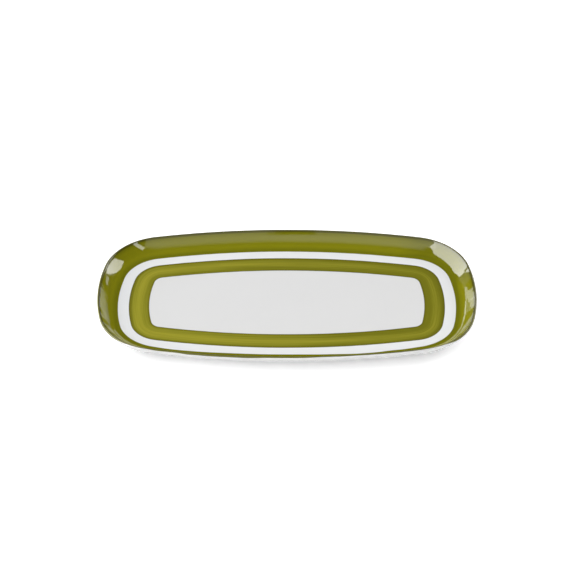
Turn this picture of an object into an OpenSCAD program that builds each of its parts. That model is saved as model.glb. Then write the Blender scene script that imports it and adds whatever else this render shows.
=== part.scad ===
// A long serving plate with gently bowed sides, round corners and an upturned rim.
// X runs along the plate, Y across it, and Z up from the surface that it stands on.
// One fired clay body carries the plate, and coats of green and white glaze cover it.

/* [Outline] */
// Length over the rim
plate_l = 380; // [340:1:430]
// Width over the rim
plate_w = 204; // [180:1:240]
// Radius of the corners of the white well in the middle
well_corner_r = 10; // [6:0.5:16]
// Half the angle that each long side bows through, in degrees
side_half_angle = 10.4; // [8:0.1:12]
// Half the angle that each end bows through, in degrees
end_half_angle = 12.8; // [10:0.1:15]

/* [Bands] */
// Width of the green band round the well
green_band_w = 20.5; // [14:0.5:26]
// Width of the white band outside the green one
white_band_w = 11; // [6:0.5:16]

/* [Wall] */
// Distance from the start of the wall out to the edge of the rim
wall_run = 20; // [16:0.5:25]
// Height of the rim's top above the well
wall_h = 13.7; // [10:0.1:16]
// Steepness of the wall where it meets the rim, in degrees above level
wall_slope = 56; // [52:1:64]
// Steepness at which the wall's tight lower curve gives way to its gentle upper one
wall_bend = 45; // [36:1:48]
// Thickness of the rim, which is fully rounded
rim_t = 2.4; // [1.8:0.1:3.2]
// Thickness of the floor, glaze included
floor_t = 3.4; // [2.8:0.1:5]

/* [Foot] */
// Height of the foot below the underside
foot_h = 4.6; // [3.8:0.1:8]
// Width of the foot, glaze included
foot_w = 5.2; // [4.4:0.1:8]
// Distance from the start of the wall in to the outside of the foot
foot_inset = 9; // [5:0.5:14]
// Radius of the hollow where the foot meets the underside
foot_fillet_r = 2; // [1:0.1:2.6]
// Radius of the edges that the foot stands on
foot_edge_r = 0.8; // [0.4:0.1:1]

/* [Glaze] */
// Thickness of the glaze
glaze_t = 0.4; // [0.25:0.05:0.6]
// Height of the wiped strip of bare clay above the foot's standing face
bare_h = 1; // [1:0.1:1.4]
// Place on the outside of the rim where green gives way to white, in degrees above level
green_edge_angle = 15; // [0:1:45]

/* [Hidden] */
$fn = 200;
// Largest turn between two points of a rounded edge, in degrees
edge_step = 7;
// Two points of a section closer than this are one
least_step = 0.001;
// Share of the well's corner radius by which the middle of the floor laps over its corners
lap_share = 0.4;

// Distances outward from the edge of the rim, so all of these are inward
wall_start = -wall_run;
white_start = wall_start - white_band_w;
green_start = white_start - green_band_w;
corner_r = well_corner_r - green_start;

// The two numbers which, multiplied by the columns of m and added up, give v
function solve(m, v) =
    let (d = m[0][0] * m[1][1] - m[0][1] * m[1][0])
    [(v[0] * m[1][1] - m[0][1] * v[1]) / d, (m[0][0] * v[1] - v[0] * m[1][0]) / d];

// The sides and ends are arcs that run tangent into the corners at the angles given, so
// length and width settle by how much their radii exceed the corner's
extra = solve(
    [
        [sin(side_half_angle), 1 - cos(end_half_angle)],
        [1 - cos(side_half_angle), sin(end_half_angle)]
    ],
    [plate_l / 2 - corner_r, plate_w / 2 - corner_r]
);
side_extra = extra[0];
end_extra = extra[1];
side_r = corner_r + side_extra;
end_r = corner_r + end_extra;
side_centre = [0, plate_w / 2 - side_r, 0];
end_centre = [plate_l / 2 - end_r, 0, 0];
corner_centre = [side_extra * sin(side_half_angle), end_extra * sin(end_half_angle), 0];
corner_angle = 90 - side_half_angle - end_half_angle;

// Heights above the standing face
under_z = foot_h;
well_z = under_z + floor_t;
rim_z = well_z + wall_h;

// The rim is a circle in section. Each face of the wall is two arcs, the first tangent to
// the floor and the second to the rim's circle, whose radii follow from run and rise.
rim_r = rim_t / 2;
rim_centre = [-rim_r, rim_z - rim_r];
rim_touch = rim_r * [sin(wall_slope), -cos(wall_slope)];
well_edge = [wall_start, well_z];
under_edge = [wall_start, under_z];
arc_spans = [
    [sin(wall_bend), sin(wall_slope) - sin(wall_bend)],
    [1 - cos(wall_bend), cos(wall_bend) - cos(wall_slope)]
];
inner_radii = solve(arc_spans, rim_centre - rim_touch - well_edge);
outer_radii = solve(arc_spans, rim_centre + rim_touch - under_edge);

// The sides of the foot
foot_out = wall_start - foot_inset;
foot_in = foot_out - foot_w;

function arc(c, r, a0, a1) =
    let (n = max(1, ceil(abs(a1 - a0) / edge_step)))
    [for (i = [0 : n]) let (a = a0 + (a1 - a0) * i / n) c + r * [cos(a), sin(a)]];
function reversed(p) = [for (i = [len(p) - 1 : -1 : 0]) p[i]];
// The points without those that repeat the one before
function joined(p) = [for (i = [0 : len(p) - 1]) if (i == 0 || norm(p[i] - p[i - 1]) > least_step) p[i]];

// Two arcs tangent to each other that climb from a level start to the slope of the wall.
// A depth t sets them off outward, into the clay of the inner face.
function climb(start, radii, t) =
    let (
        first = start + [0, radii[0]],
        turned = [cos(wall_bend - 90), sin(wall_bend - 90)],
        second = first + (radii[0] - radii[1]) * turned
    )
    concat(
        arc(first, radii[0] + t, -90, wall_bend - 90),
        arc(second, radii[1] + t, wall_bend - 90, wall_slope - 90)
    );

// Stretches of the plate's surface in section, at a depth of t below the glaze's own
function wall_inside(t) = climb(well_edge, inner_radii, t);
function rim_round(t, a0, a1) = arc(rim_centre, rim_r - t, a0, a1);
function wall_outside(t) = reversed(climb(under_edge, outer_radii, -t));
function foot_outside(t) = arc(
    [foot_out + foot_fillet_r, under_z - foot_fillet_r], foot_fillet_r + t, 90, 180
);
function foot_inside(t) = arc(
    [foot_in - foot_fillet_r, under_z - foot_fillet_r], foot_fillet_r + t, 0, 90
);
function foot_sole() = concat(
    arc([foot_out - glaze_t - foot_edge_r, foot_edge_r], foot_edge_r, 0, -90),
    arc([foot_in + glaze_t + foot_edge_r, foot_edge_r], foot_edge_r, -90, -180)
);

// Moves to a point by whole units, then by thousandths, then by what is left, so that
// the arcs of the outline, whose centres are not round numbers, still meet face to face
function whole(p) = [for (v = p) round(v)];
function thousandths(p) = [for (v = p) round(v * 1000) / 1000];
module shift_to(p) {
    rest = p - whole(p);
    translate(whole(p)) translate(thousandths(rest)) translate(rest - thousandths(rest)) children();
}

// Sweeps a section along one arc of the outline. The section sees how far in it may
// reach as $reach, the distance from the rim's edge to where the arc's sector ends.
module sweep(centre, r, from, turn, inner) {
    $reach = inner - r;
    shift_to(centre) rotate_extrude(angle = turn, start = from) shift_to([r, 0]) children();
}

// Sweeps a section round the whole plate: two sides, two ends and four corners
module sweep_round() {
    for (flip = [0, 1]) {
        mirror([0, flip, 0])
            sweep(side_centre, side_r, 90 - side_half_angle, 2 * side_half_angle,
                side_extra * cos(side_half_angle)) children();
        mirror([flip, 0, 0])
            sweep(end_centre, end_r, -end_half_angle, 2 * end_half_angle,
                end_extra * cos(end_half_angle)) children();
        for (turn = [0, 1])
            mirror([flip, 0, 0]) mirror([0, turn, 0])
                sweep(corner_centre, corner_r, end_half_angle, corner_angle,
                    well_corner_r * lap_share) children();
    }
}

// The middle of the floor between two heights, which laps over the swept parts round it
module floor_middle(low, high) {
    lap = well_corner_r * lap_share;
    size = 2 * [corner_centre[0] + lap, corner_centre[1] + lap];
    translate([0, 0, low]) linear_extrude(high - low) square(size, center = true);
}

// A flat stretch of glaze in section
module flat_section(start, end, low, high) {
    polygon([[start, low], [end, low], [end, high], [start, high]]);
}

// A coat of glaze in section, between its own surface and the clay under it
module coat_section(surface, clay) {
    polygon(joined(concat(surface, reversed(clay))));
}

// The fired clay under the glaze: floor, wall, rounded rim and foot in one piece
module clay_section() {
    polygon(joined(concat(
        [[$reach, well_z - glaze_t]],
        wall_inside(glaze_t),
        rim_round(glaze_t, wall_slope + 90, wall_slope - 90),
        wall_outside(glaze_t),
        foot_outside(glaze_t),
        foot_sole(),
        foot_inside(glaze_t),
        [[$reach, under_z + glaze_t]]
    )));
}

module clay_body() {
    color("antiquewhite") {
        sweep_round() clay_section();
        floor_middle(under_z + glaze_t, well_z - glaze_t);
    }
}

module well_glaze() {
    color("whitesmoke") {
        sweep_round() flat_section($reach, green_start, well_z - glaze_t, well_z);
        floor_middle(well_z - glaze_t, well_z);
    }
}

module well_green_band() {
    color("olive") sweep_round() flat_section(green_start, white_start, well_z - glaze_t, well_z);
}

module white_band() {
    color("whitesmoke") sweep_round() flat_section(white_start, wall_start, well_z - glaze_t, well_z);
}

// The green of the wall, which runs over the rim to just below its outer edge
module rim_green_band() {
    color("olive") sweep_round() coat_section(
        concat(wall_inside(0), rim_round(0, wall_slope + 90, green_edge_angle)),
        concat(wall_inside(glaze_t), rim_round(glaze_t, wall_slope + 90, green_edge_angle))
    );
}

// The white of the outside, from the edge of the green down to the wiped strip on the foot
module outside_glaze() {
    color("whitesmoke") sweep_round() coat_section(
        concat(
            rim_round(0, green_edge_angle, wall_slope - 90), wall_outside(0),
            foot_outside(0), [[foot_out, bare_h]]
        ),
        concat(
            rim_round(glaze_t, green_edge_angle, wall_slope - 90), wall_outside(glaze_t),
            foot_outside(glaze_t), [[foot_out - glaze_t, bare_h]]
        )
    );
}

// The white of the underside inside the foot
module recess_glaze() {
    color("whitesmoke") {
        sweep_round() coat_section(
            concat([[foot_in, bare_h]], foot_inside(0), [[$reach, under_z]]),
            concat([[foot_in + glaze_t, bare_h]], foot_inside(glaze_t), [[$reach, under_z + glaze_t]])
        );
        floor_middle(under_z, under_z + glaze_t);
    }
}

clay_body();
well_glaze();
well_green_band();
white_band();
rim_green_band();
outside_glaze();
recess_glaze();
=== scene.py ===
from math import cos, pi, radians, sin

import bmesh
import bpy
from bpy.props import FloatProperty, FloatVectorProperty, IntProperty, PointerProperty
from mathutils import Matrix, Vector


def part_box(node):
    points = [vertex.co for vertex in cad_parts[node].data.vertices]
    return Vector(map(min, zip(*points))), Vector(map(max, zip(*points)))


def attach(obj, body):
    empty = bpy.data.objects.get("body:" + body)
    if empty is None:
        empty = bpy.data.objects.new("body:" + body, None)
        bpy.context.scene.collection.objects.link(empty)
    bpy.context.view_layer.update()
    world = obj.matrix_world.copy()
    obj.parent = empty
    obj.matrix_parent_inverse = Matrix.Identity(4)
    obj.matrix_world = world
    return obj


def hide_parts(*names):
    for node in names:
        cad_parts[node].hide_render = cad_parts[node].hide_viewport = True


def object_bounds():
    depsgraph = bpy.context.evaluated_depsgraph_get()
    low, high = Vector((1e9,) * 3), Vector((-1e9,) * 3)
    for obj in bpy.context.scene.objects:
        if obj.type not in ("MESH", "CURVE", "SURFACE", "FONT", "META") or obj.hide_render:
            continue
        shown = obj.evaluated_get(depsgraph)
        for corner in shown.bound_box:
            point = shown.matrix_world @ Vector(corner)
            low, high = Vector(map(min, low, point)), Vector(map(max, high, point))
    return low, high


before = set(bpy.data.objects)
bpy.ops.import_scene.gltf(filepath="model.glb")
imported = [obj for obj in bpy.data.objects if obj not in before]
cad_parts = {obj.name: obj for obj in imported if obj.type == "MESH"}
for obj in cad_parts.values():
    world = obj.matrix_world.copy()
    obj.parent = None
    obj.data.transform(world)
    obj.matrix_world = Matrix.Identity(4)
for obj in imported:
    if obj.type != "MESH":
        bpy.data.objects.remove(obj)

bl_info = {
    "name": "Asparagus Plate",
    "version": (1, 0, 0),
    "blender": (4, 5, 0),
    "location": "3D View > Sidebar > Plate",
    "description": "Makes a long glazed serving plate with painted bands, and the studio round it",
    "category": "Add Mesh",
}

CAD_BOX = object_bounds()
PLATE_LENGTH = CAD_BOX[1].x - CAD_BOX[0].x
PLATE_WIDTH = CAD_BOX[1].y - CAD_BOX[0].y
WELL_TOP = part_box("well_glaze")[1].z
RIM_TOP = CAD_BOX[1].z
MM = 0.001
# How much higher than the solid's the rim looks in the photograph, in millimetres
RIM_LIFT = 0.3


def size(name, default_mm, what):
    """A length on the plate."""
    return FloatProperty(name=name, description=what, default=default_mm * MM,
                         subtype="DISTANCE", unit="LENGTH", precision=5)


def turn(name, default_degrees, what):
    """An angle."""
    return FloatProperty(name=name, description=what, default=radians(default_degrees),
                         subtype="ANGLE", unit="ROTATION")


def paint(name, default, what):
    """A colour."""
    return FloatVectorProperty(name=name, description=what, default=default, size=3,
                               subtype="COLOR", min=0, max=1)


def amount(name, default, what):
    """A plain number, such as a lamp's brightness."""
    return FloatProperty(name=name, description=what, default=default)


def steps(name, default, what):
    """A count of steps round the plate."""
    return IntProperty(name=name, description=what, default=default)


class PlateSizes(bpy.types.PropertyGroup):
    length: size("Length", PLATE_LENGTH / MM, "Length over the rim")
    width: size("Width", PLATE_WIDTH / MM, "Width over the rim")
    well_corner: size("Well corner", 10, "Radius of the corners of the white well")
    side_half: turn("Side bow", 10.4, "Half the angle that each long side bows through")
    end_half: turn("End bow", 12.8, "Half the angle that each end bows through")
    green_band: size("Green band", 20.5, "Width of the green band round the well")
    white_band: size("White band", 11, "Width of the white band outside it")
    wall_run: size("Wall run", 20, "Distance from the start of the wall to the rim's edge")
    well_top: size("Well height", WELL_TOP / MM, "Height of the well above the table")
    rim_top: size("Rim height", RIM_TOP / MM + RIM_LIFT, "Height of the rim above the table")
    wall_slope: turn("Wall slope", 56, "Steepness of the wall at the rim")
    wall_bend: turn("Wall bend", 45, "Steepness where the wall's lower curve ends")
    rim_thick: size("Rim thickness", 2.4, "Thickness of the rounded rim")
    underside: size("Underside height", 4.6, "Height of the underside above the table")
    foot_width: size("Foot width", 5.2, "Width of the foot, glaze included")
    foot_inset: size("Foot inset", 9, "Distance from the start of the wall to the foot")
    foot_fillet: size("Foot fillet", 2, "Radius where the foot meets the underside")
    foot_edge: size("Foot edge", 0.8, "Radius of the edges that the foot stands on")
    glaze: size("Glaze", 0.4, "Thickness of the glaze")
    bare: size("Bare strip", 1, "Height of the wiped strip of clay on the foot")
    green_edge: turn("Green edge", 33, "Where the green ends on the rim's outside")
    end_steps: steps("End steps", 14, "Steps along half an end")
    corner_steps: steps("Corner steps", 44, "Steps round a corner")
    side_steps: steps("Side steps", 26, "Steps along half a side")


class GlazeLooks(bpy.types.PropertyGroup):
    white: paint("White glaze", (0.70, 0.70, 0.70), "The white of the well")
    ring_white: paint("Ring white", (0.775, 0.785, 0.80), "The cooler white of the ring")
    outside_white: paint("Outside white", (0.89, 0.89, 0.89),
                         "The white of the outside and the underside")
    wall_green: paint("Wall green", (0.225, 0.218, 0.005), "The green of the middle of the wall")
    # painted highlight: a lighter green high on the wall's left end, standing in for a reflection
    # there
    wall_painted_highlight: paint("Wall light", (0.300, 0.290, 0.020),
                      "The lighter green high on the wall's left end")
    wall_dark: paint("Wall dark", (0.150, 0.150, 0.004), "The green low on the wall")
    band_green: paint("Band green", (0.33, 0.31, 0.030),
                      "The lighter green brushed round the well")
    band_dark: paint("Band dark", (0.165, 0.160, 0.010), "The green between the brush's streaks")
    band_edge: paint("Band edge", (0.105, 0.100, 0.008),
                     "The green where the brushed band's edges pool")
    # painted shade: this dark green stands for the rounded rim's shade as well as glaze thinning
    # over it; the green that runs over the rim outside takes it too
    lip_green_and_shade: paint("Lip green", (0.085, 0.082, 0.006), "The green that thins over the rim")
    clay: paint("Fired clay", (0.72, 0.66, 0.57), "The bare clay of the foot")
    worn_clay: paint("Worn clay", (0.42, 0.39, 0.35), "The clay where the foot is worn")
    wobble: size("Painted edge", 0.35, "How far a painted edge wanders")
    waves: size("Glaze waves", 0.1, "Height of the slow waves in the glaze")
    wall_waves: size("Wall waves", 0.40,
                     "Height of the stronger waves at the wall's right end")
    left_roll: size("Left roll", 2.3, "How far the top of the wall leans in at the left end")
    right_roll: size("Right roll", 2.3, "How far the top of the wall leans out at the right end")


class StudioLooks(bpy.types.PropertyGroup):
    floor: paint("Floor", (0.92, 0.92, 0.92), "The pale floor")
    floor_lift: amount("Floor lift", 0.36, "White that the floor shows over its own light")
    far_lift: amount("Far lift", 0.8, "White that it shows on top of that far off")
    key: amount("Left box", 2.75, "Brightness of the large soft box on the left")
    key_glare: amount("Left box glare", 2.9,
                      "What its mirror image in the glaze has on top of that")
    back: amount("Back box", 5.0, "Brightness of the soft box behind on the right")
    strip: amount("Strip", 4.4, "Brightness of the narrow strip in front on the right")
    front: amount("Front panel", 1.0, "Brightness of the broad panel over the camera")
    card: amount("Card", 2.2, "Brightness of the white card behind on the left")
    paper: amount("Paper", 1.7, "Brightness of the low paper behind")
    sheen: amount("Sheen", 0.3,
                  "Brightness of the dim wall behind on the left, in the glaze only")
    glint: amount("Glint", 1.8, "Brightness of the gap beside the box behind")
    fill: amount("Fill", 0.50,
                 "Brightness of the low light in front, without an image in the glaze")
    overhead: amount("Overhead", 1.40,
                     "Brightness of the soft light from above, without an image in the glaze")
    room: amount("Room", 0.02, "Brightness of the dark room")
    camera_height: turn("Camera height", 39.45, "Angle of the camera above the level")
    camera_turn: turn("Camera turn", 0.06, "Angle of the camera off the plate's middle")
    camera_far: FloatProperty(name="Camera distance",
                              description="Distance to the well's middle",
                              default=2.1008, subtype="DISTANCE", unit="LENGTH")
    lens: amount("Lens", 129.7, "Focal length in millimetres")


class Wire:
    """A socket that Python's own operators work on, by adding Math nodes."""

    def __init__(self, tree, socket):
        self.tree, self.socket = tree, socket

    def math(self, operation, *others):
        return self.tree.math(operation, self, *others)

    def __add__(self, other):
        return self.math("ADD", other)

    __radd__ = __add__

    def __sub__(self, other):
        return self.math("SUBTRACT", other)

    def __rsub__(self, other):
        return self.tree.math("SUBTRACT", other, self)

    def __mul__(self, other):
        return self.math("MULTIPLY", other)

    __rmul__ = __mul__

    def __truediv__(self, other):
        return self.math("DIVIDE", other)

    def __rtruediv__(self, other):
        return self.tree.math("DIVIDE", other, self)

    def __gt__(self, other):
        return self.math("GREATER_THAN", other)

    def __lt__(self, other):
        return self.math("LESS_THAN", other)

    def least(self, other):
        return self.math("MINIMUM", other)

    def most(self, other):
        return self.math("MAXIMUM", other)

    def share(self):
        """Held between 0 and 1."""
        return self.most(0).least(1)


# A Mix node's sockets for colours share their names with others, so they go by number
FIRST_COLOUR, SECOND_COLOUR, MIXED_COLOUR = 6, 7, 2


class Tree:
    """Adds nodes to one node tree."""

    def __init__(self, tree):
        self.tree = tree

    def add(self, kind, settings=None, values=None, output=0):
        """One node: its settings first, then the values or wires of its sockets."""
        node = self.tree.nodes.new(kind)
        for name, value in (settings or {}).items():
            setattr(node, name, value)
        for name, value in (values or {}).items():
            if isinstance(value, Wire):
                self.tree.links.new(value.socket, node.inputs[name])
            else:
                node.inputs[name].default_value = value
        return Wire(self, node.outputs[output])

    def math(self, operation, *values):
        return self.add("ShaderNodeMath", {"operation": operation}, dict(enumerate(values)))

    def outputs(self, wire):
        """Every output of the node that a wire leaves, by name."""
        return {s.name: Wire(self, s) for s in wire.socket.node.outputs}

    def fade(self, value, start, end):
        """0 before start, 1 beyond end, smooth between."""
        return self.add("ShaderNodeMapRange", {"interpolation_type": "SMOOTHSTEP"},
                        {"Value": value, "From Min": start, "From Max": end,
                         "To Min": 0.0, "To Max": 1.0})

    def stretch(self, value, start, full, fall, end):
        """Fades in between start and full, and out again between fall and end."""
        return self.fade(value, start, full) * (1 - self.fade(value, fall, end))

    def mix(self, factor, first, second):
        """A colour between two."""
        def rgba(c):
            return c if isinstance(c, Wire) else (*c, 1)
        ends = {FIRST_COLOUR: rgba(first), SECOND_COLOUR: rgba(second)}
        return self.add("ShaderNodeMix", {"data_type": "RGBA"}, {"Factor": factor, **ends},
                        output=MIXED_COLOUR)

    def uneven(self, factor, colour, low, high):
        """A colour that varies between two shares of itself."""
        return self.mix(factor, [c * low for c in colour], [c * high for c in colour])

    def noise(self, vector, scale, detail=2.0, rough=0.5):
        """Varies between 0 and 1 from spot to spot."""
        return self.add("ShaderNodeTexNoise", None,
                        {"Vector": vector, "Scale": scale, "Detail": detail, "Roughness": rough})

    def axes(self, vector):
        """The X, Y and Z of a vector."""
        parts = self.outputs(self.add("ShaderNodeSeparateXYZ", None, {"Vector": vector}))
        return parts["X"], parts["Y"], parts["Z"]

    def own_place(self):
        """The object's own coordinates."""
        return self.outputs(self.add("ShaderNodeTexCoord"))["Object"]

    def finish(self, shader, output="ShaderNodeOutputMaterial"):
        """Joins the shader to the tree's output."""
        self.tree.links.new(shader.socket, self.tree.nodes.new(output).inputs["Surface"])


def add_object(name, data):
    made = bpy.data.objects.new(name, data)
    bpy.context.scene.collection.objects.link(made)
    return made


# Largest turns between two points of the section's round stretches
LOW_WALL_STEP = radians(2)
HIGH_WALL_STEP = radians(1)
RIM_STEP = radians(6)
FILLET_STEP = radians(7.5)
SOLE_STEP = radians(9)
BEAD_STEP = radians(15)
# Share of the well's corner radius out to which the flat middle of the floor reaches
MIDDLE_SHARE = 0.6


def arc(centre, r, start, end, step):
    """Points on an arc, with its two ends."""
    # the number of steps, rounded up
    n = max(1, int(-(-abs(end - start) // step)))
    return [Vector((centre[0] + r * cos(a), centre[1] + r * sin(a)))
            for a in (start + (end - start) * i / n for i in range(n + 1))]


def solve(m, v):
    """The two numbers which, multiplied by the columns of m and added up, give v."""
    d = m[0][0] * m[1][1] - m[0][1] * m[1][0]
    return ((v[0] * m[1][1] - m[0][1] * v[1]) / d, (m[0][0] * v[1] - v[0] * m[1][0]) / d)


class Section:
    """The plate's section, as distances outward from the rim's edge and heights.

    With outward to the right, each coat's outline runs clockwise."""

    def __init__(self, s):
        self.s = s
        r = self.rim_r = s.rim_thick / 2
        self.rim_centre = Vector((-r, s.rim_top - r))
        self.wall_start = -s.wall_run
        self.white_start = self.wall_start - s.white_band
        self.green_start = self.white_start - s.green_band
        self.foot_out = self.wall_start - s.foot_inset
        self.foot_in = self.foot_out - s.foot_width
        self.middle = self.green_start - s.well_corner * MIDDLE_SHARE
        touch = r * Vector((sin(s.wall_slope), -cos(s.wall_slope)))
        spans = ((sin(s.wall_bend), sin(s.wall_slope) - sin(s.wall_bend)),
                 (1 - cos(s.wall_bend), cos(s.wall_bend) - cos(s.wall_slope)))
        self.well_edge = Vector((self.wall_start, s.well_top))
        self.under_edge = Vector((self.wall_start, s.underside))
        self.inner = solve(spans, self.rim_centre - touch - self.well_edge)
        self.outer = solve(spans, self.rim_centre + touch - self.under_edge)

    def climb(self, start, radii, depth):
        """Two arcs, tangent to each other, from level up to the wall's slope."""
        bend, slope = self.s.wall_bend, self.s.wall_slope
        first = start + Vector((0, radii[0]))
        second = first + (radii[0] - radii[1]) * Vector((sin(bend), -cos(bend)))
        lower = arc(first, radii[0] + depth, -pi / 2, bend - pi / 2, LOW_WALL_STEP)
        upper = arc(second, radii[1] + depth, bend - pi / 2, slope - pi / 2, HIGH_WALL_STEP)
        return lower + upper[1:]

    def inside(self, depth):
        return self.climb(self.well_edge, self.inner, depth)

    def outside(self, depth):
        return self.climb(self.under_edge, self.outer, -depth)[::-1]

    def rim(self, depth, start, end):
        return arc(self.rim_centre, self.rim_r - depth, start, end, RIM_STEP)

    def fillet_out(self, depth):
        f = self.s.foot_fillet
        return arc((self.foot_out + f, self.s.underside - f), f + depth, pi / 2, pi, FILLET_STEP)

    def fillet_in(self, depth):
        f = self.s.foot_fillet
        return arc((self.foot_in - f, self.s.underside - f), f + depth, 0, pi / 2, FILLET_STEP)

    def sole(self):
        e, g = self.s.foot_edge, self.s.glaze
        return (arc((self.foot_out - g - e, e), e, 0, -pi / 2, SOLE_STEP)
                + arc((self.foot_in + g + e, e), e, -pi / 2, -pi, SOLE_STEP))

    def clay(self):
        s = self.s
        g, up, down = s.glaze, s.wall_slope + pi / 2, s.wall_slope - pi / 2
        return ([Vector((self.middle, s.well_top - g))] + self.inside(g) + self.rim(g, up, down)
                + self.outside(g) + self.fillet_out(g) + self.sole() + self.fillet_in(g)
                + [Vector((self.middle, s.underside + g))])

    def flat(self, start, end):
        top, low = self.s.well_top, self.s.well_top - self.s.glaze
        return [Vector(p) for p in ((start, top), (end, top), (end, low), (start, low))]

    def wall_green(self):
        s = self.s
        up = s.wall_slope + pi / 2
        return (self.inside(0) + self.rim(0, up, s.green_edge)
                + (self.inside(s.glaze) + self.rim(s.glaze, up, s.green_edge))[::-1])

    def outside_white(self):
        """Ends at the foot in a rounded bead."""
        s = self.s
        down, g = s.wall_slope - pi / 2, s.glaze
        bead = arc((self.foot_out - g, s.bare + g), g, 0, -pi / 2, BEAD_STEP)
        skin = self.rim(0, s.green_edge, down) + self.outside(0) + self.fillet_out(0)
        back = self.rim(g, s.green_edge, down) + self.outside(g) + self.fillet_out(g)
        return skin + bead + back[::-1]

    def recess_white(self):
        """Ends at the foot in a rounded bead too."""
        s = self.s
        g = s.glaze
        bead = arc((self.foot_in + g, s.bare + g), g, -pi / 2, -pi, BEAD_STEP)
        return ([Vector((self.middle, s.underside + g))] + self.fillet_in(g)[::-1] + bead
                + self.fillet_in(0) + [Vector((self.middle, s.underside))])


# Points of a section closer than this are one
LEAST_STEP = 2e-6
# Points of a swept coat closer than this are merged
MERGE_STEP = 1e-6
# Edges that turn by more than this stay crisp
CRISP = radians(40)
# Keeps a whole number from being rounded down to the one below
NUDGE = 1e-4
# The sockets of the sweep and their kinds
SWEEP_SOCKETS = {
    "Section": "Object", "Closed": "Int", "Length": "Float", "Width": "Float",
    "Rim Corner": "Float", "Side Half Angle": "Float", "End Half Angle": "Float",
    "End Steps": "Int", "Corner Steps": "Int", "Side Steps": "Int", "Material": "Material",
}


def joined(points):
    """The points without those that repeat the one before."""
    kept = []
    for p in points:
        if not kept or (p - kept[-1]).length > LEAST_STEP:
            kept.append(p)
    return kept


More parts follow.
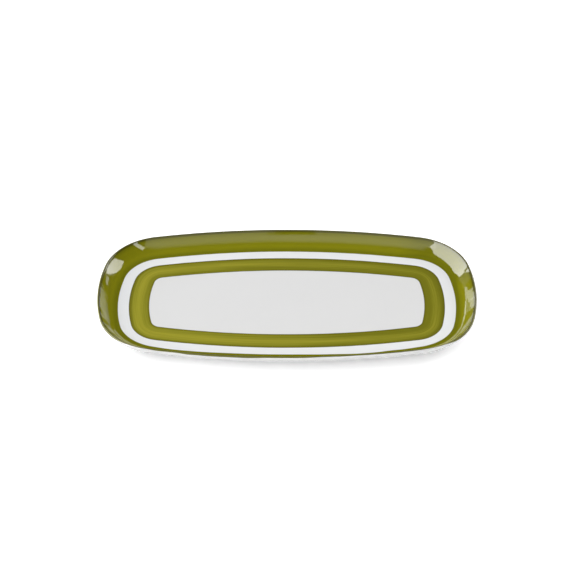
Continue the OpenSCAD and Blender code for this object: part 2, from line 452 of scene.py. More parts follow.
def coat_tree():
    """Sweeps a section round the eight tangent arcs of the plate's outline."""
    tree = bpy.data.node_groups.new("Coat round the plate", "GeometryNodeTree")
    sockets = {}
    for name, kind in SWEEP_SOCKETS.items():
        socket = tree.interface.new_socket(name=name, in_out="INPUT",
                                           socket_type="NodeSocket" + kind)
        sockets[name] = socket.identifier
    tree.interface.new_socket(name="Geometry", in_out="OUTPUT",
                              socket_type="NodeSocketGeometry")
    t = Tree(tree)
    given = t.outputs(t.add("NodeGroupInput"))
    side, end = given["Side Half Angle"], given["End Half Angle"]
    corner_r = given["Rim Corner"]

    # by how much the radii of side and end exceed the corner's, from the length and width
    long, wide = given["Length"] / 2 - corner_r, given["Width"] / 2 - corner_r
    side_sin, side_cos = side.math("SINE"), side.math("COSINE")
    end_sin, end_cos = end.math("SINE"), end.math("COSINE")
    scale = side_sin * end_sin - (1 - end_cos) * (1 - side_cos)
    side_extra = (long * end_sin - (1 - end_cos) * wide) / scale
    end_extra = (side_sin * wide - (1 - side_cos) * long) / scale
    corner_x, corner_y = side_extra * side_sin, end_extra * end_sin

    ends, corners, sides = given["End Steps"], given["Corner Steps"], given["Side Steps"]
    quarter = ends + corners + sides
    around = quarter * 4

    def place(step, reach, height):
        """The point at a step round the outline, a distance outward from the rim's edge."""
        quarter_step = step.math("PINGPONG", quarter)
        on_end = quarter_step < ends
        on_side = quarter_step > ends + corners
        corner_step = (quarter_step - ends).most(0).least(corners)
        side_step = (quarter_step - ends - corners).most(0)
        angle = (quarter_step.least(ends) / ends * end
                 + corner_step / corners * (pi / 2 - side - end)
                 + side_step / sides * side)
        radius = corner_r + reach + on_end * end_extra + on_side * side_extra
        x = (corner_x - on_end * end_extra * end_cos - on_side * corner_x
             + radius * angle.math("COSINE"))
        y = (corner_y - on_end * corner_y - on_side * side_extra * side_cos
             + radius * angle.math("SINE"))
        # the signs of X and Y in each quarter
        x_side = 1 - ((step - quarter * 2).math("ABSOLUTE") < quarter) * 2
        y_side = 1 - (step > quarter * 2) * 2
        return t.add("ShaderNodeCombineXYZ", None, {"X": x * x_side, "Y": y * y_side, "Z": height})

    drawn = t.outputs(t.add("GeometryNodeObjectInfo", {"transform_space": "ORIGINAL"},
                            {"Object": given["Section"]}))["Geometry"]
    points = t.add("GeometryNodeAttributeDomainSize", {"component": "MESH"}, {"Geometry": drawn})
    rows = points + given["Closed"]
    grid = t.add("GeometryNodeMeshGrid", None, {"Vertices X": around + 1, "Vertices Y": rows})
    index = t.add("GeometryNodeInputIndex")
    step = (index / rows + NUDGE).math("FLOOR")
    row = (index - step * rows).math("MODULO", points)

    def drawn_at(number):
        """Reach and height of one point of the section."""
        at = t.add("GeometryNodeSampleIndex", {"data_type": "FLOAT_VECTOR", "domain": "POINT"},
                   {"Geometry": drawn, "Value": t.add("GeometryNodeInputPosition"),
                    "Index": number})
        reach, _, height = t.axes(at)
        return reach, height

    def placed(geometry, at, reach, height):
        """The geometry's points put round the plate, with the reach kept on each."""
        kept = t.add("GeometryNodeStoreNamedAttribute", {"data_type": "FLOAT", "domain": "POINT"},
                     {"Geometry": geometry, "Name": "reach", "Value": reach})
        return t.add("GeometryNodeSetPosition", None,
                     {"Geometry": kept, "Position": place(at, reach, height)})

    def flipped(mesh):
        return t.add("GeometryNodeFlipFaces", None, {"Mesh": mesh})

    def floor_at(number):
        """The flat middle that closes an open section."""
        disc = t.add("GeometryNodeMeshCircle", {"fill_type": "NGON"}, {"Vertices": around})
        return placed(disc, index, *drawn_at(number))

    skin = flipped(placed(grid, step.math("MODULO", around), *drawn_at(row)))
    whole = t.add("GeometryNodeJoinGeometry")
    for part in (flipped(floor_at(points - 1)), floor_at(0), skin):
        tree.links.new(part.socket, whole.socket.node.inputs[0])
    chosen = t.add("GeometryNodeSwitch", {"input_type": "GEOMETRY"},
                   {"Switch": given["Closed"], "False": whole, "True": skin})
    merged = t.add("GeometryNodeMergeByDistance", None,
                   {"Geometry": chosen, "Distance": MERGE_STEP})
    smooth = t.add("GeometryNodeSetShadeSmooth", {"domain": "FACE"},
                   {"Geometry": merged, "Shade Smooth": True})
    edge = t.add("GeometryNodeInputMeshEdgeAngle")
    crisp = t.add("GeometryNodeSetShadeSmooth", {"domain": "EDGE"},
                  {"Geometry": smooth, "Selection": edge > CRISP, "Shade Smooth": False})
    real = t.add("GeometryNodeRealizeInstances", None, {"Geometry": crisp})
    dressed = t.add("GeometryNodeSetMaterial", None,
                    {"Geometry": real, "Material": given["Material"]})
    result = tree.nodes.new("NodeGroupOutput")
    tree.links.new(dressed.socket, result.inputs[0])
    return tree, sockets


def swept_mesh(name, points, closed, material):
    """The mesh that the tree makes of a section."""
    s = bpy.context.scene.plate_sizes
    tree, sockets = coat_tree()
    drawing = bpy.data.meshes.new(name + "_section")
    drawing.from_pydata([(p.x, 0, p.y) for p in points],
                        [(i, i + 1) for i in range(len(points) - 1)], [])
    section = add_object(drawing.name, drawing)
    maker = add_object(name + "_maker", bpy.data.meshes.new(name + "_maker"))
    modifier = maker.modifiers.new("Coat", "NODES")
    modifier.node_group = tree
    values = {
        "Section": section, "Closed": int(closed), "Length": s.length, "Width": s.width,
        "Rim Corner": s.well_corner - Section(s).green_start,
        "Side Half Angle": s.side_half, "End Half Angle": s.end_half,
        "End Steps": s.end_steps, "Corner Steps": s.corner_steps, "Side Steps": s.side_steps,
        "Material": material,
    }
    for socket, value in values.items():
        modifier[sockets[socket]] = value
    graph = bpy.context.evaluated_depsgraph_get()
    graph.update()
    mesh = bpy.data.meshes.new_from_object(maker.evaluated_get(graph))
    mesh.name = name
    for helper in (maker, section):
        bpy.data.objects.remove(helper)
    bpy.data.node_groups.remove(tree)
    return mesh


def check_solid(mesh):
    """Raises an error unless the mesh is closed and faces outward."""
    shape = bmesh.new()
    shape.from_mesh(mesh)
    volume = shape.calc_volume(signed=True)
    loose = [e for e in shape.edges if not e.is_manifold]
    shape.free()
    if volume <= 0 or loose:
        raise RuntimeError(f"{mesh.name} isn't a closed solid that faces outward: "
                           f"{volume}, {len(loose)} open edges")


def sweep(name, points, closed, material, node):
    """Makes one piece from its section, as a plain mesh that stands for its CAD node."""
    mesh = swept_mesh(name, joined(points), closed, material)
    check_solid(mesh)
    piece = add_object(name, mesh)
    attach(piece, "root")
    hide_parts(node)
    return piece


# How strongly glaze and clay bend light
GLAZE_IOR = 1.65
CLAY_IOR = 1.5
# Half the width of the blur between two colours of glaze
SOFT_EDGE = 0.12 * MM
# How far a painted edge drifts and trembles, in sizes of its wobble
DRIFTS, TREMBLES = 2.2, 0.5
# Roughness of the glaze inside and outside, which varies by as much again
ROUGH, OUTSIDE_ROUGH = 0.04, 0.05
# The least and most that clouds make of a white: inside, outside, and of the clay
INSIDE_CLOUDS, OUTSIDE_CLOUDS, CLAY_CLOUDS = (0.985, 1.01), (0.97, 1), (0.86, 1)
# Noise sizes, in spots per metre: drifts of an edge, clouds, patches, waves, trembles and grain
SLOW, CLOUD, PATCH, OUTSIDE_WAVE, DRIP, WAVE = 11.0, 22.0, 35.0, 40.0, 60.0, 75.0
TREMBLE, SHINE, RIPPLE, GRAIN = 90.0, 150.0, 420.0, 900.0
# Streaks of the brush: how fast they change along the plate and across a band
STREAK_ALONG, STREAK_ACROSS = 14.0, 700.0

# Spans over which the paint changes: where the change starts and is full, and in some where
# it falls off and ends. Those in X and Y are metres from the plate's middle, with -Y in front.
NEAR_Y = (-0.025, -0.055)
LEFT_END_X, LEFT_END_Y = (-0.155, -0.168), (0.018, -0.012, -0.032, -0.050)
RIGHT_END_X, RIGHT_END_Y = (0.120, 0.165), (0.090, 0.045, -0.020, -0.045)
DARK_CORNER_X, FAR_Y = (0.11, 0.15), (0.015, 0.045)
WAVY_X = (0.115, 0.145)
# In front, where and by how many millimetres the wall's green starts early, or late
EARLY_MIDDLE_X, EARLY_MIDDLE = (-0.105, -0.030, 0.0, 0.060), 1.1
LATE_RIGHT_X, LATE_RIGHT = (0.045, 0.072, 0.080, 0.105), 0.9
EARLY_CORNERS_X, EARLY_CORNERS = (0.110, 0.145, 0.145, 0.178), 1.5
# In front, where and by how many millimetres the outside's white comes up over the rim, with
# the blur of its edge and how little of it shows
BARE_MIDDLE_X, BARE_MIDDLE = (0.010, 0.035), 0.36
BARE_RIGHT_X, BARE_RIGHT = (0.120, 0.152), 0.6
BARE_LEFT_X, BARE_LEFT = (-0.122, -0.140), 0.5
BARE_ENDS_X = (0.152, 0.166)
BARE_BLUR, BARE_LEAST = (-0.20 * MM, 0.0), (0, 0.1 * MM)
# Shares of the brushed band's width; and its lightness, with what its middle, its streaks and
# its place, in metres to the right or back, add to it
BAND_MIDDLE, BAND_BETWEEN_POOLS = (0.20, 0.52, 0.56, 0.92), (-0.05, 0.16, 0.80, 1.03)
MIDDLE_LIGHT, STREAK_LIGHT, BAND_LIGHT, RIGHT_LIGHT, BACK_LIGHT = 0.45, 1.3, 0.14, -1.8, -1.2
# Shares of the wall's run, the last where a painted highlight lightens its left end, and what its
# top, its streaks and its dark corner change
WALL_FOOT, WALL_TOP, WALL_HIGHLIGHT = (0.10, 0.40), (0.70, 0.88), (0.50, 0.65)
TOP_DARK, WALL_STREAK_LIGHT, CORNER_DARK = 0.5, 0.5, 0.8
# Distances outward from the rim's edge between which the glaze is dark, as thinner glaze and as
# painted shade of the rounded rim, or thin and rough
LIP = (-3.4 * MM, -2.4 * MM, -0.9 * MM, -0.3 * MM)
THIN, OUTSIDE_THIN = (-2.4 * MM, -1.6 * MM), (-1.8 * MM, -1.0 * MM)
THIN_ROUGH = 0.30
# How far in from the rim's edge the wall's ends lean, and how much the slow drift moves that
LEFT_LEAN, RIGHT_LEAN, LEAN_DRIFT = 12 * MM, 9 * MM, 3 * MM
# Shares of the waves' height on the flat, of the right end's waves in front, and of the
# waves' height that the fine ripple has
FLAT_WAVES, NEAR_WAVES, RIPPLES = 0.2, 0.4, 0.02
# How far before the wall's start the waves grow, and how far beyond it they are full
WAVES_BEFORE, WAVES_FULL, RIGHT_WAVES_FULL = 2 * MM, 3 * MM, 5 * MM
# The outside: where its left end is darkened as painted shade, and where the green that runs over
# the rim is low, with its edge's height above the middle of the rim and how much lower it is there
SHADED_LEFT_X = (-0.09, -0.14)
LOW_ENDS_X, LOW_BACK_Y = (0.155, 0.175), (-0.060, 0.0)
LOW_LEFT_X = (-0.110, -0.095, -0.040, -0.015)
GREEN_HEIGHT, GREEN_LOWER, GREEN_DRIPS = 0.8 * MM, 0.95 * MM, 0.5 * MM
GREEN_BLUR, GREEN_THIN = (-0.2 * MM, 0.25 * MM), (-0.8 * MM, 0.0)
OUTSIDE_WAVES, OUTSIDE_RIPPLES = 0.3, 0.01
# The hollow beside the foot: how far above the underside glaze pools, how much and how dark
POOL_ABOVE, POOL_SHARE, POOL_TONE = 1 * MM, 0.35, 0.9
# The bare clay: how high and on which grains it is worn, and how much; its grain's depth; and
# its roughness, with what the grain adds
WORN_HEIGHT, WORN_GRAINS, WORN_SHARE = 0.25 * MM, (0.45, 0.62), 0.5
GRAIN_DEPTH, CLAY_ROUGH, GRAIN_ROUGH = 0.06, 0.7, 0.2


def new_material(name):
    material = bpy.data.materials.new(name)
    material.use_nodes = True
    material.node_tree.nodes.clear()
    return material, Tree(material.node_tree)


def finish_ceramic(t, colour, height, roughness, ior):
    """The shader of a glaze or of bare clay, joined to the material's output."""
    bump = t.add("ShaderNodeBump", None, {"Height": height, "Distance": 1.0, "Strength": 1.0})
    shader = t.add("ShaderNodeBsdfPrincipled", None,
                   {"Base Color": colour, "Normal": bump, "Roughness": roughness, "IOR": ior})
    t.finish(shader)


class Glaze:
    """What the paint reads at each point: its own place, and its reach from the rim's edge."""

    def __init__(self, t):
        self.t = t
        self.looks = bpy.context.scene.plate_glazes
        self.sizes = bpy.context.scene.plate_sizes
        self.cut = Section(self.sizes)
        self.where = t.own_place()
        self.x, self.y, self.z = t.axes(self.where)
        self.from_middle = self.x.math("ABSOLUTE")
        self.reach = t.outputs(t.add("ShaderNodeAttribute", {"attribute_name": "reach"}))["Fac"]

    def noise(self, scale, **settings):
        return self.t.noise(self.where, scale, **settings)

    def swing(self, scale, **settings):
        """Noise about zero."""
        return self.noise(scale, **settings) - 0.5


class PaintedGlaze(Glaze):
    """The painted inside: white well, brushed green, white ring, green wall and lip."""

    def __init__(self, t):
        super().__init__(t)
        # a painted edge wanders a little, slowly along the band and with a finer tremble
        self.slow = self.swing(SLOW, detail=1.0)
        tremble = self.swing(TREMBLE)
        wobble = self.looks.wobble
        self.drawn = self.reach + self.slow * (wobble * DRIFTS) + tremble * (wobble * TREMBLES)
        self.near = t.fade(self.y, *NEAR_Y)
        self.left_end = t.fade(self.x, *LEFT_END_X) * t.stretch(self.y, *LEFT_END_Y)
        # streaks of the brush run along the band
        along = t.add("ShaderNodeCombineXYZ", None,
                      {"X": self.x * STREAK_ALONG, "Y": self.y * STREAK_ALONG,
                       "Z": self.reach * STREAK_ACROSS})
        self.streak = t.noise(along, 1.0, detail=3.0, rough=0.6) - 0.5
        early_mm = (t.stretch(self.x, *EARLY_MIDDLE_X) * EARLY_MIDDLE
                    - t.stretch(self.x, *LATE_RIGHT_X) * LATE_RIGHT
                    + t.stretch(self.from_middle, *EARLY_CORNERS_X) * EARLY_CORNERS)
        self.green_edge = self.drawn + early_mm * self.near * MM

    def band(self):
        """Brushed green, with one lighter streak along its middle and edges that pool."""
        t, looks = self.t, self.looks
        across = (self.drawn - self.cut.green_start) / self.sizes.green_band
        # the brush leaves less glaze on the left and in front than on the right and behind
        tone = (t.stretch(across, *BAND_MIDDLE) * MIDDLE_LIGHT
                + self.streak * STREAK_LIGHT + BAND_LIGHT
                + self.x * RIGHT_LIGHT + self.y * BACK_LIGHT)
        pooled = 1 - t.stretch(across, *BAND_BETWEEN_POOLS)
        brushed = t.mix(tone.share(), looks.band_dark, looks.band_green)
        return t.mix(pooled, brushed, looks.band_edge)

    def wall(self):
        """Darker low down and at the far right, lighter high on the left end as a painted
        highlight, and dark where it thins over the rim, which also stands as painted shade of the
        rounded rim.
        """
        t, looks = self.t, self.looks
        up = (self.green_edge - self.cut.wall_start) / self.sizes.wall_run
        corner = t.fade(self.x, *DARK_CORNER_X) * t.fade(self.y, *FAR_Y)
        tone = (t.fade(up, *WALL_FOOT) * (1 - t.fade(up, *WALL_TOP) * TOP_DARK)
                + self.streak * WALL_STREAK_LIGHT - corner * CORNER_DARK)
        wall = t.mix(tone.share(), looks.wall_dark, looks.wall_green)
        # painted highlight: lighter green high on the left end in place of a reflection
        wall = t.mix(self.left_end * t.fade(up, *WALL_HIGHLIGHT), wall, looks.wall_painted_highlight)
        # painted shade: the rim is darkened, partly as thinner glaze and partly as the shade of
        # its rounding
        wall = t.mix(t.stretch(self.reach, *LIP), wall, looks.lip_green_and_shade)
        bare_mm = (t.fade(self.x, *BARE_MIDDLE_X) * BARE_MIDDLE
                   + t.fade(self.x, *BARE_RIGHT_X) * BARE_RIGHT
                   + t.fade(self.x, *BARE_LEFT_X) * BARE_LEFT)
        bare = bare_mm * (1 - t.fade(self.from_middle, *BARE_ENDS_X)) * self.near * MM
        bared = t.fade(self.reach + bare, *BARE_BLUR) * t.fade(bare, *BARE_LEAST)
        return t.mix(bared, wall, looks.outside_white)

    def colour(self):
        """The colours one outside the other, each from where its painted edge is."""
        t, cut = self.t, self.cut
        cloud = self.noise(CLOUD, detail=3.0)
        colour = t.uneven(cloud, self.looks.white, *INSIDE_CLOUDS)
        ring = t.uneven(cloud, self.looks.ring_white, *INSIDE_CLOUDS)
        for edge, start, outer in ((self.drawn, cut.green_start, self.band()),
                                   (self.drawn, cut.white_start, ring),
                                   (self.green_edge, cut.wall_start, self.wall())):
            painted = t.fade(edge, start - SOFT_EDGE, start + SOFT_EDGE)
            colour = t.mix(painted, colour, outer)
        return colour

    def relief(self):
        """Slow waves and a fine ripple. The wall is wavy at its right end, steeper up on the
        left and flatter up on the right."""
        t, looks, start = self.t, self.looks, self.cut.wall_start
        waves = self.swing(WAVE, detail=1.0)
        on_wall = t.fade(self.reach, start - WAVES_BEFORE, start + WAVES_FULL)
        on_right = t.fade(self.reach, start, start + RIGHT_WAVES_FULL) * t.fade(self.x, *WAVY_X)
        on_right = on_right * (NEAR_WAVES + (1 - NEAR_WAVES) * t.fade(self.y, *FAR_Y))
        right_end = t.fade(self.x, *RIGHT_END_X) * t.stretch(self.y, *RIGHT_END_Y)
        steeper = ((self.reach + self.slow * LEAN_DRIFT) / LEFT_LEAN + 1).most(0)
        flatter = (self.reach / RIGHT_LEAN + 1).most(0)
        return (waves * (looks.waves * (FLAT_WAVES + (1 - FLAT_WAVES) * on_wall)
                         + on_right * looks.wall_waves)
                + self.noise(RIPPLE) * (looks.waves * RIPPLES)
                + steeper * self.left_end * looks.left_roll
                - flatter * flatter * right_end * looks.right_roll)

    def roughness(self):
        """Rougher where the glaze thins over the rim."""
        thin = self.t.fade(self.reach, *THIN)
        return self.noise(SHINE) * ROUGH + ROUGH + thin * THIN_ROUGH


def painted_material(name):
    """Glossy glaze with the painted bands."""
    material, t = new_material(name)
    glaze = PaintedGlaze(t)
    finish_ceramic(t, glaze.colour(), glaze.relief(), glaze.roughness(), GLAZE_IOR)
    return material


def white_material(name):
    """Plain white glaze of the outside and the underside, darkened at its left end as painted
    shade, with the green's edge at the rim.
    """
    material, t = new_material(name)
    g = Glaze(t)
    looks, s = g.looks, g.sizes
    white = t.uneven(g.noise(CLOUD, detail=3.0), looks.outside_white, *OUTSIDE_CLOUDS)
    # painted shade: towards the left end the outside takes the well's darker white
    white = t.mix(t.fade(g.x, *SHADED_LEFT_X), white, looks.white)
    # thicker, and so a little darker, where it pools in the hollow beside the foot
    pool = 1 - t.fade(g.z, s.underside - s.foot_fillet, s.underside + POOL_ABOVE)
    white = t.mix(pool * POOL_SHARE, white, [c * POOL_TONE for c in looks.outside_white])
    # the green runs over the rim: lowest on the left and at the ends, least on the right in front
    away = t.fade(g.from_middle, *LOW_ENDS_X).most(t.fade(g.y, *LOW_BACK_Y))
    edge = GREEN_HEIGHT - away.most(t.stretch(g.x, *LOW_LEFT_X)) * GREEN_LOWER
    above = g.z - (s.rim_top - s.rim_thick / 2) - edge + g.swing(DRIP) * GREEN_DRIPS
    white = t.mix(t.fade(above, *GREEN_BLUR), white, looks.lip_green_and_shade)
    relief = (g.noise(OUTSIDE_WAVE, detail=1.0) * (looks.waves * OUTSIDE_WAVES)
              + g.noise(RIPPLE) * (looks.waves * OUTSIDE_RIPPLES))
    thin = t.fade(g.reach, *OUTSIDE_THIN) * t.fade(above, *GREEN_THIN)
    roughness = g.noise(SHINE) * OUTSIDE_ROUGH + OUTSIDE_ROUGH + thin * THIN_ROUGH
    finish_ceramic(t, white, relief, roughness, GLAZE_IOR)
    return material


def clay_material(name):
    """Bare fired clay: matt, finely grained, and greyer where the foot is worn."""
    material, t = new_material(name)
    g = Glaze(t)
    grain = g.noise(GRAIN, detail=4.0, rough=0.7)
    clay = t.uneven(g.noise(PATCH, detail=3.0), g.looks.clay, *CLAY_CLOUDS)
    worn = (1 - t.fade(g.z, 0.0, WORN_HEIGHT)) * t.fade(grain, *WORN_GRAINS)
    clay = t.mix(worn * WORN_SHARE, clay, g.looks.worn_clay)
    finish_ceramic(t, clay, grain * GRAIN_DEPTH * MM, grain * GRAIN_ROUGH + CLAY_ROUGH, CLAY_IOR)
    return material


class PLATE_OT_body(bpy.types.Operator):
    """Makes the fired clay body with its foot"""
    bl_idname = "plate.body"
    bl_label = "Clay body"

    def execute(self, context):
        cut = Section(context.scene.plate_sizes)
        sweep("fired_clay", cut.clay(), False, clay_material("Fired clay"), "clay_body")
        return {"FINISHED"}


class PLATE_OT_well(bpy.types.Operator):
    """Glazes the flat of the plate: white well, brushed green band and white ring"""
    bl_idname = "plate.well"
    bl_label = "Well glazes"

    def execute(self, context):
        cut = Section(context.scene.plate_sizes)
        sweep("well_white", cut.flat(cut.middle, cut.green_start), False,
              painted_material("Well white glaze"), "well_glaze")
        sweep("well_green", cut.flat(cut.green_start, cut.white_start), True,
              painted_material("Brushed green glaze"), "well_green_band")
        sweep("ring_white", cut.flat(cut.white_start, cut.wall_start), True,
              painted_material("Ring white glaze"), "white_band")
        return {"FINISHED"}


class PLATE_OT_wall(bpy.types.Operator):
    """Glazes the wall and the rim green"""
    bl_idname = "plate.wall"
    bl_label = "Wall glaze"

    def execute(self, context):
        cut = Section(context.scene.plate_sizes)
        sweep("wall_green", cut.wall_green(), True, painted_material("Wall green glaze"),
              "rim_green_band")
        return {"FINISHED"}


class PLATE_OT_outside(bpy.types.Operator):
    """Glazes the outside and the underside white"""
    bl_idname = "plate.outside"
    bl_label = "Outside glazes"

    def execute(self, context):
        cut = Section(context.scene.plate_sizes)
        finish = white_material("Outside white glaze")
        sweep("outside_white", cut.outside_white(), True, finish, "outside_glaze")
        sweep("recess_white", cut.recess_white(), False, finish, "recess_glaze")
        return {"FINISHED"}


# Rectangles of the studio, in metres, by their lower left, lower right and upper left corners
# as the plate sees them. What is overhead has its upper side behind.
LEFT_BOX = ((-1.566, -1.393, 0.204), (-1.878, 1.544, 0.156), (-1.083, -1.319, 1.619))
BACK_BOX = ((1.341, 1.275, 0.025), (1.856, 0.808, 0.037), (0.783, 0.682, 0.856))
STRIP = ((1.254, -0.728, 0.767), (1.21, -0.896, 0.753), (0.676, -0.598, 1.039))
CARD = ((-1.35, 1.25, 0.02), (-0.78, 1.66, 0.02), (-1.35, 1.25, 0.30))
SHEEN = ((-1.80, 1.50, 0.30), (-1.50, 1.68, 0.30), (-1.80, 1.50, 1.50))
PAPER = ((-0.90, 1.4, 0.17), (0.38, 1.4, 0.17), (-0.90, 1.4, 0.40))
GLINT = ((1.10, 1.27, 0.02), (1.20, 1.19, 0.02), (1.10, 1.27, 0.22))
FILL = ((1.2, -2.2, 0.8), (-1.2, -2.2, 0.8), (1.2, -2.2, 1.9))
OVERHEAD = ((1.6, -1.6, 2.4), (-1.6, -1.6, 2.4), (1.6, 1.6, 2.4))
FRONT_PANEL = ((1.113, -2.7, 0.954), (-1.92, -2.742, 1.158), (1.142, -1.022, 1.716))
# The left box's glare stands this much farther off than the box
GLARE_BEHIND = 1.01
# The black card before the lower right of the back box is a triangle
BACK_FLAG = ((1.321, 1.256, 0.025), (1.881, 0.748, 0.038), (1.582, 0.429, 0.485))
BLACK = (0.01, 0.01, 0.01, 1)
WHITE = (1, 1, 1, 1)
# Shares of the front panel's width and height: the camera's outline, where the light rises
# and where it ends, and its levels at the bottom and at the right
CAMERA_WIDE, CAMERA_HIGH = (0.350, 0.362, 0.398, 0.410), (0.53, 0.59)
PANEL_RISING, PANEL_TOP = (0.25, 0.72), (0.74, 0.97)
PANEL_LOW, PANEL_RISE, PANEL_RIGHT, PANEL_LEFT_RISE = 0.55, 0.4, 0.85, 0.35

# Half the floor's length and width
FLOOR_HALF = 9.0
# Distances from the plate between which the lamps leave the floor
FLOOR_FAR = (0.8, 2.6)
# Width of the camera's sensor, in millimetres
SENSOR_WIDTH = 36
# Width of the picture, and how far it is shifted sideways and up, in pixels
PICTURE_WIDTH, SHIFT_ACROSS, SHIFT_UP = 579, 2.54, 12.36


def sides(corners):
    """Two sides of a rectangle, from three of its corners."""
    low_left, low_right, up_left = map(Vector, corners)
    return low_right - low_left, up_left - low_left


def turned(origin, across, up):
    """The place of a rectangle whose own X and Y run along its sides."""
    x, y = across.normalized(), up.normalized()
    return Matrix.Translation(origin) @ Matrix((x, y, x.cross(y))).transposed().to_4x4()


def soft_box(name, corners, radiance, lights=True, mirrored=True):
    """A rectangular lamp, which may light without being mirrored in the glaze, or the reverse."""
    across, up = sides(corners)
    middle = Vector(corners[0]) + across / 2 + up / 2
    lamp = bpy.data.lights.new(name, "AREA")
    lamp.shape = "RECTANGLE"
    lamp.size, lamp.size_y = across.length, up.length
    lamp.energy = radiance * pi * across.length * up.length
    box = add_object(name, lamp)
    # a lamp shines along its own -Z, so its X runs from the right to the left
    box.matrix_world = turned(middle, -across, up)
    box.visible_camera = False
    box.visible_diffuse, box.visible_glossy = lights, mirrored


def stage_mesh(name, corners, material):
    """One face of the studio."""
    mesh = bpy.data.meshes.new(name)
    mesh.from_pydata(corners, [], [tuple(range(len(corners)))])
    mesh.materials.append(material)
    face = add_object(name, mesh)
    return face


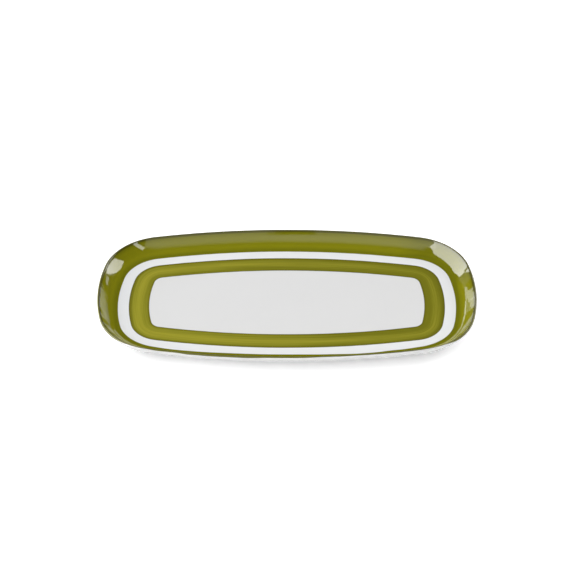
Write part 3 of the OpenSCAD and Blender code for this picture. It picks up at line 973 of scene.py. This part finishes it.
class PLATE_OT_stage(bpy.types.Operator):
    """Makes the pale floor, the soft studio light and the camera"""
    bl_idname = "plate.stage"
    bl_label = "Studio"

    def execute(self, context):
        scene = context.scene
        looks = scene.plate_studio
        self.floor(looks)
        self.world(scene, looks)
        self.lamps(looks)
        self.camera(scene, looks)
        scene.view_settings.view_transform = "Standard"
        return {"FINISHED"}

    def floor(self, looks):
        """Pale and matt, and white to the camera and in the glaze."""
        material, t = new_material("Pale floor")
        ray = t.outputs(t.add("ShaderNodeLightPath"))
        seen = ray["Is Camera Ray"].most(ray["Is Glossy Ray"]).most(ray["Is Transmission Ray"])
        lit = t.add("ShaderNodeBsdfDiffuse", None, {"Color": (*looks.floor, 1)})
        # far off, where the lamps don't reach, the camera still finds it white
        length = t.add("ShaderNodeVectorMath", {"operation": "LENGTH"}, {"Vector": t.own_place()})
        far = t.fade(t.outputs(length)["Value"], *FLOOR_FAR)
        strength = seen * looks.floor_lift + ray["Is Camera Ray"] * far * looks.far_lift
        lift = t.add("ShaderNodeEmission", None, {"Color": WHITE, "Strength": strength})
        t.finish(t.add("ShaderNodeAddShader", None, {0: lit, 1: lift}))
        h = FLOOR_HALF
        stage_mesh("floor", ((-h, -h, 0), (h, -h, 0), (h, h, 0), (-h, h, 0)), material)

    def world(self, scene, looks):
        """White to the camera, and a dark room to the glaze."""
        world = bpy.data.worlds.new("Studio")
        world.use_nodes = True
        world.node_tree.nodes.clear()
        scene.world = world
        t = Tree(world.node_tree)
        seen = t.outputs(t.add("ShaderNodeLightPath"))["Is Camera Ray"]
        light = t.add("ShaderNodeBackground", None,
                      {"Color": WHITE, "Strength": seen.most(looks.room)})
        t.finish(light, "ShaderNodeOutputWorld")

    def lamps(self, looks):
        glare = [Vector(corner) * GLARE_BEHIND for corner in LEFT_BOX]
        soft_box("left_box", LEFT_BOX, looks.key)
        soft_box("left_glare", glare, looks.key_glare, lights=False)
        soft_box("back_box", BACK_BOX, looks.back)
        self.flag("back_flag", BACK_FLAG)
        soft_box("strip", STRIP, looks.strip)
        soft_box("card", CARD, looks.card)
        soft_box("sheen", SHEEN, looks.sheen, lights=False)
        soft_box("paper", PAPER, looks.paper)
        soft_box("glint", GLINT, looks.glint)
        soft_box("fill", FILL, looks.fill, mirrored=False)
        soft_box("overhead", OVERHEAD, looks.overhead, mirrored=False)
        self.front_panel(looks)

    def flag(self, name, corners):
        """A black card that hides a corner of a lamp."""
        material, t = new_material("Black card")
        t.finish(t.add("ShaderNodeBsdfDiffuse", None, {"Color": BLACK}))
        stage_mesh(name, corners, material).visible_camera = False

    def front_panel(self, looks):
        """The broad panel over the camera, brighter towards its top, with the camera dark
        before it."""
        across, up = sides(FRONT_PANEL)
        wide, high = across.length, up.length
        material, t = new_material("Front panel")
        x, y, _ = t.axes(t.own_place())
        u, v = x / wide, y / high
        camera = t.stretch(u, *CAMERA_WIDE) * (1 - t.fade(v, *CAMERA_HIGH))
        level = ((PANEL_LOW + PANEL_RISE * t.fade(v, *PANEL_RISING))
                 * (PANEL_RIGHT + PANEL_LEFT_RISE * u)
                 * (1 - t.fade(v, *PANEL_TOP)) * (1 - camera))
        level = level * (1 - t.outputs(t.add("ShaderNodeNewGeometry"))["Backfacing"])
        grey = t.add("ShaderNodeCombineColor", None, {"Red": level, "Green": level, "Blue": level})
        t.finish(t.add("ShaderNodeEmission", None, {"Color": grey, "Strength": looks.front}))
        panel = stage_mesh("front_panel", ((0, 0, 0), (wide, 0, 0), (wide, high, 0), (0, high, 0)),
                           material)
        panel.visible_camera = False
        panel.matrix_world = turned(Vector(FRONT_PANEL[0]), across, up)

    def camera(self, scene, looks):
        """Looks down on the middle of the well from in front."""
        target = Vector((0, 0, scene.plate_sizes.well_top))
        level = cos(looks.camera_height)
        back = Vector((sin(looks.camera_turn) * level, -cos(looks.camera_turn) * level,
                       sin(looks.camera_height)))
        data = bpy.data.cameras.new("camera")
        data.lens, data.sensor_width = looks.lens, SENSOR_WIDTH
        data.shift_x, data.shift_y = SHIFT_ACROSS / PICTURE_WIDTH, SHIFT_UP / PICTURE_WIDTH
        camera = add_object("camera", data)
        camera.location = target + back * looks.camera_far
        camera.rotation_euler = (-back).to_track_quat("-Z", "Y").to_euler()
        scene.camera = camera


class PLATE_PT_panel(bpy.types.Panel):
    """Lists the plate's pieces and their sizes and looks"""
    bl_label = "Plate"
    bl_idname = "PLATE_PT_panel"
    bl_space_type = "VIEW_3D"
    bl_region_type = "UI"
    bl_category = "Plate"

    def draw(self, context):
        for operator in OPERATORS:
            self.layout.operator(operator.bl_idname)
        for group_name in GROUPS:
            group = getattr(context.scene, group_name)
            box = self.layout.box()
            for name in group.__annotations__:
                box.prop(group, name)


OPERATORS = (PLATE_OT_body, PLATE_OT_well, PLATE_OT_wall, PLATE_OT_outside, PLATE_OT_stage)
GROUPS = {"plate_sizes": PlateSizes, "plate_glazes": GlazeLooks, "plate_studio": StudioLooks}
CLASSES = (*GROUPS.values(), *OPERATORS, PLATE_PT_panel)


def register():
    for cls in CLASSES:
        bpy.utils.register_class(cls)
    for name, group in GROUPS.items():
        setattr(bpy.types.Scene, name, PointerProperty(type=group))


def unregister():
    for name in GROUPS:
        delattr(bpy.types.Scene, name)
    for cls in reversed(CLASSES):
        bpy.utils.unregister_class(cls)


def main():
    register()
    bpy.ops.plate.body()
    bpy.ops.plate.well()
    bpy.ops.plate.wall()
    bpy.ops.plate.outside()
    bpy.ops.plate.stage()


if __name__ == "__main__":
    main()
